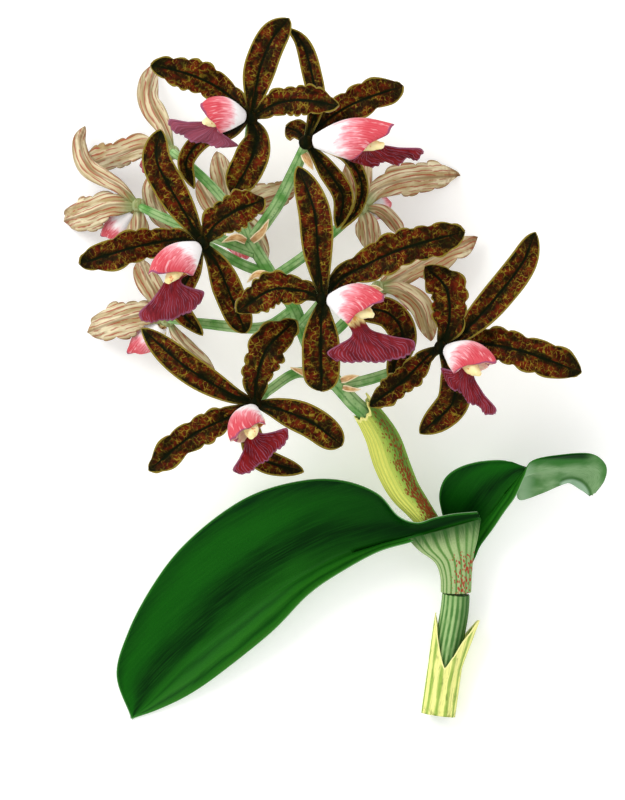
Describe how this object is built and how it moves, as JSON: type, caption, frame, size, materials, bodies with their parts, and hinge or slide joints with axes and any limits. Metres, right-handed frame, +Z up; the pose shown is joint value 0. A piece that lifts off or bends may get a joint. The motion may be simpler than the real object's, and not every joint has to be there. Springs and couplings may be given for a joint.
{
  "type": "cattleya orchid",
  "caption": "Cut flowering growth of a spotted cattleya orchid, lying flat: a cluster of brown and crimson blooms on a branched stalk, with its leaves and sheath",
  "frame": {"origin": "centre of the bounding box in X and Y, at the surface that the plant lies on", "axes": "+Z up from the surface, towards the front blooms' faces; +Y from the cut end towards the tip of the flower cluster; +X towards the smaller leaf"},
  "size_m": [0.23, 0.2962, 0.0993],
  "materials": {
    "leaf": "waxy, dark green, paler below",
    "bulb": "ribbed, satin green",
    "sheath": "papery, yellow with green stripes",
    "spathe": "satin yellow-green with dark red speckles",
    "stalk": "satin green",
    "bract": "papery tan",
    "tepal": "waxy, maroon blotches on an olive-gold net",
    "tepal_outside": "satin buff with red streaks",
    "lip": "velvety, white through rose to crimson",
    "column": "waxy cream"
  },
  "bodies": {
    "root": {"pseudobulb": "bulb", "basal_sheath": "sheath", "leaf_left": "leaf", "leaf_right": "leaf", "spathe": "spathe", "flower_stalk": "stalk", "bract_1": "bract", "bract_2": "bract", "bract_3": "bract", "bract_4": "bract", "bract_5": "bract", "bract_6": "bract", "bract_7": "bract", "bract_8": "bract", "bloom_01_tepals": "tepal", "bloom_01_lip": "lip", "bloom_01_column": "column", "bloom_02_tepals": "tepal", "bloom_02_lip": "lip", "bloom_02_column": "column", "bloom_03_tepals": "tepal", "bloom_03_lip": "lip", "bloom_03_column": "column", "bloom_04_tepals": "tepal", "bloom_04_lip": "lip", "bloom_04_column": "column", "bloom_05_tepals": "tepal", "bloom_05_lip": "lip", "bloom_05_column": "column", "bloom_06_tepals": "tepal", "bloom_06_lip": "lip", "bloom_06_column": "column", "bloom_07_tepals": "tepal_outside", "bloom_07_lip": "lip", "bloom_07_column": "column", "bloom_08_tepals": "tepal_outside", "bloom_08_lip": "lip", "bloom_08_column": "column", "bloom_09_tepals": "tepal_outside", "bloom_09_lip": "lip", "bloom_09_column": "column", "bloom_10_tepals": "tepal_outside", "bloom_10_lip": "lip", "bloom_10_column": "column", "bloom_11_tepals": "tepal_outside", "bloom_11_lip": "lip", "bloom_11_column": "column", "bloom_12_tepals": "tepal_outside", "bloom_12_lip": "lip", "bloom_12_column": "column"}
  },
  "joints": []
}
